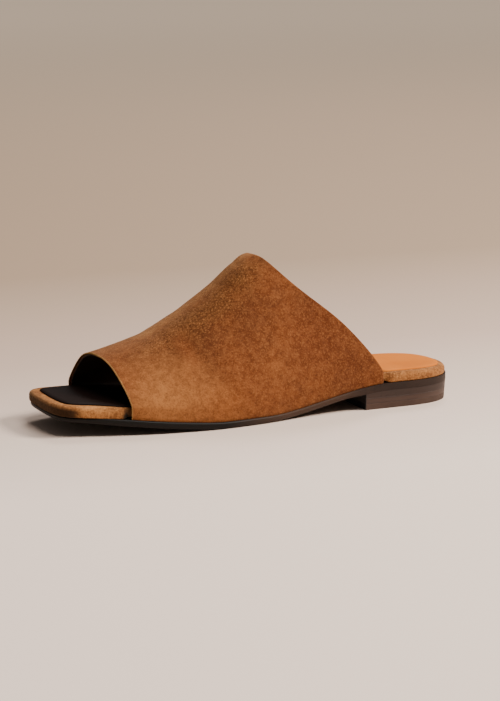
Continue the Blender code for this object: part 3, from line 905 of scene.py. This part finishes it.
def band_grid():
    """Points of the whole band's outer face with their outward normals, creases and skirts included."""
    smooth = []
    for row in range(ROWS + 1):
        arch = []
        for column in range(ARCH + 1):
            angle = math.pi * column / ARCH
            point, along = upper_point(row / ROWS, angle)
            rear = upper_point(1.0, angle)[1]
            point.z += eased((along - rear) * LENGTH, angle)
            arch.append((point, along, angle))
        smooth.append(arch)
    full = []
    for row in range(ROWS + 1):
        line = []
        for column in range(ARCH + 1):
            r0, r1 = max(row - 1, 0), min(row + 1, ROWS)
            c0, c1 = max(column - 1, 0), min(column + 1, ARCH)
            along = smooth[r1][column][0] - smooth[r0][column][0]
            across = smooth[row][c1][0] - smooth[row][c0][0]
            normal = along.cross(across).normalized()
            if column in (0, ARCH):
                normal.z = 0
                normal.normalize()
            point, station, angle = smooth[row][column]
            fade = smoothstep(column / FADE_COLUMNS) * smoothstep((ARCH - column) / FADE_COLUMNS)
            fade *= smoothstep(row / FADE_ROWS) * smoothstep((ROWS - row) / FADE_ROWS)
            line.append((point + normal * crease(station, angle, point) * fade, normal))
        full.append(skirt(*line[0])[::-1] + line + skirt(*line[-1]))
    return full


def shell(grid, outer_depth, inner_depth):
    """A closed skin between two depths under the band's outer face, with half-round rims. Also gives
    the numbers of the faces along its toe edge, first the outer ones and then those of the cut edge."""
    wide = len(grid[0])
    half = (inner_depth - outer_depth) / 2
    points = []

    def add(point):
        points.append(point)
        return len(points) - 1

    lines = []
    for line in grid:
        outer = [add(p - n * outer_depth) for p, n in line]
        inner = [add(p - n * inner_depth) for p, n in line]
        lines.append((outer, inner))
    faces = []
    front = []
    cut = []
    for (o1, i1), (o2, i2) in zip(lines, lines[1:]):
        for c in range(wide - 1):
            faces.append((o1[c], o1[c + 1], o2[c + 1], o2[c]))
            faces.append((i1[c], i2[c], i2[c + 1], i1[c + 1]))
        faces.append((o1[0], o2[0], i2[0], i1[0]))
        faces.append((o1[-1], i1[-1], i2[-1], o2[-1]))
    for end, beside in ((0, 1), (-1, -2)):
        previous = lines[end][0]
        ends = [], []
        for step in range(1, RIM_STEPS + 1):
            turn = math.pi * step / (RIM_STEPS + 1)
            depth = outer_depth + half * (1 - math.cos(turn))
            current = []
            for (p, n), (q, _) in zip(grid[end], grid[beside]):
                away = (p - q).normalized()
                current.append(add(p - n * depth + away * half * math.sin(turn)))
            if end == 0:
                trimmed = front if step <= RIM_STEPS // 2 + 1 else cut
                trimmed.extend(range(len(faces), len(faces) + wide - 1))
            for c in range(wide - 1):
                faces.append((previous[c], previous[c + 1], current[c + 1], current[c]))
            ends[0].append(current[0])
            ends[1].append(current[-1])
            previous = current
        last = lines[end][1]
        if end == 0:
            cut.extend(range(len(faces), len(faces) + wide - 1))
        for c in range(wide - 1):
            faces.append((previous[c], previous[c + 1], last[c + 1], last[c]))
        faces.append((lines[end][0][0], *ends[0], last[0]))
        faces.append((lines[end][0][-1], *ends[1], last[-1]))
    return points, faces, front, cut


grid = band_grid()
points, faces, front, cut = shell(grid, 0.0, SUEDE)
new_piece("suede_band", points, faces, suede_material, "suede", "upper", smooth=60,
          trims=((hem_and_highlight_material, front), (cut_material, cut)))
points, faces = shell(grid[1:-1], LINING_START, WALL)[:2]
new_piece("band_lining", points, faces, lining_material, "suede", None, smooth=60)

# ---- floor, light and camera ------------------------------------------------------------------

FLOOR_HALF = 30.0
FLOOR_CORNERS = ((-1, -1), (1, -1), (1, 1), (-1, 1))

# Where the floor's tones start in metres in front of the shoe, and the tones by the metre behind it, which
# darken as painted shade where the lamps' light falls off
FLOOR_NEAR = 0.15
FLOOR_PAPER_AND_SHADE = ((0.0, linear(236, 216, 202)), (0.32, linear(193, 168, 152)), (0.65, linear(163, 139, 117)))
FLOOR_FLECK = linear(180, 160, 144)

# Far from the lamps the floor gives off a faint light, so that it stays pale: reach in mm and strength
GLOW_REACH = 4200
GLOW_STRENGTH = 0.75
GLOW = linear(208, 186, 164)

floor_mesh = bpy.data.meshes.new("floor")
floor_mesh.from_pydata([(x * FLOOR_HALF, y * FLOOR_HALF, 0) for x, y in FLOOR_CORNERS], [], [(0, 1, 2, 3)])
floor = bpy.data.objects.new("floor", floor_mesh)
bpy.context.scene.collection.objects.link(floor)
g = Graph("floor_paper")
behind = g.maths("MULTIPLY_ADD", g.xyz()[1], -1.0, FLOOR_NEAR, clamp=True)
paper = g.ramp(behind, FLOOR_PAPER_AND_SHADE, "LINEAR")
paper = g.mix(g.maths("MULTIPLY", g.noise(scale=3, detail=2), 0.06), paper, FLOOR_FLECK)
far = g.maths("SUBTRACT", 1.0, g.near((0, 0, 0), GLOW_REACH))
g.link(g.maths("MULTIPLY", far, GLOW_STRENGTH), g.shader.inputs["Emission Strength"])
floor_mesh.materials.append(g.finish(paper, roughness=0.8, Specular_IOR_Level=0.1, Emission_Color=(*GLOW, 1)))

# The camera's place round the shoe in degrees and metres, and its lens in mm
EYE_AZIMUTH = 157.34
EYE_ELEVATION = 11.32
EYE_DISTANCE = 1.404
EYE_AIM = Vector((0, 0, 0.040))
LOOK_AT = Vector((-0.002, 0, 0.036))
LENS = 122
SENSOR = 36

# What the lamps point at, and the plain light all round
LAMP_AIM = Vector((0, 0, 0.03))
SKY_COLOUR = (1.0, 0.95, 0.90, 1)
SKY_STRENGTH = 0.14


def direction(azimuth, elevation):
    """Unit vector from the shoe to a place round it, given in degrees."""
    a, e = math.radians(azimuth), math.radians(elevation)
    return Vector((math.sin(a) * math.cos(e), -math.cos(a) * math.cos(e), math.sin(e)))


camera = bpy.data.objects.new("camera", bpy.data.cameras.new("camera"))
bpy.context.scene.collection.objects.link(camera)
camera.location = EYE_AIM + direction(EYE_AZIMUTH, EYE_ELEVATION) * EYE_DISTANCE
camera.rotation_mode = "QUATERNION"
camera.rotation_quaternion = (LOOK_AT - camera.location).to_track_quat("-Z", "Y")
camera.data.lens = LENS
camera.data.sensor_width = SENSOR
camera.data.clip_start = 0.05
camera.data.clip_end = 200
bpy.context.scene.camera = camera


def area_light(name, azimuth, elevation, distance, size, power, colour):
    lamp = bpy.data.lights.new(name, "AREA")
    lamp.shape = "DISK"
    lamp.size = size
    lamp.energy = power
    lamp.color = colour
    placed = bpy.data.objects.new(name, lamp)
    bpy.context.scene.collection.objects.link(placed)
    placed.location = direction(azimuth, elevation) * distance
    placed.rotation_mode = "QUATERNION"
    placed.rotation_quaternion = (LAMP_AIM - placed.location).to_track_quat("-Z", "Y")


area_light("key", azimuth=243, elevation=42, distance=2.2, size=0.7, power=70, colour=(1.0, 0.94, 0.86))
area_light("top", azimuth=200, elevation=68, distance=2.4, size=1.3, power=42, colour=(1.0, 0.96, 0.92))
area_light("back", azimuth=325, elevation=50, distance=2.6, size=1.0, power=30, colour=(1.0, 0.97, 0.94))

world = bpy.data.worlds.new("studio")
world.use_nodes = True
sky = world.node_tree.nodes["Background"]
sky.inputs["Color"].default_value = SKY_COLOUR
sky.inputs["Strength"].default_value = SKY_STRENGTH
bpy.context.scene.world = world
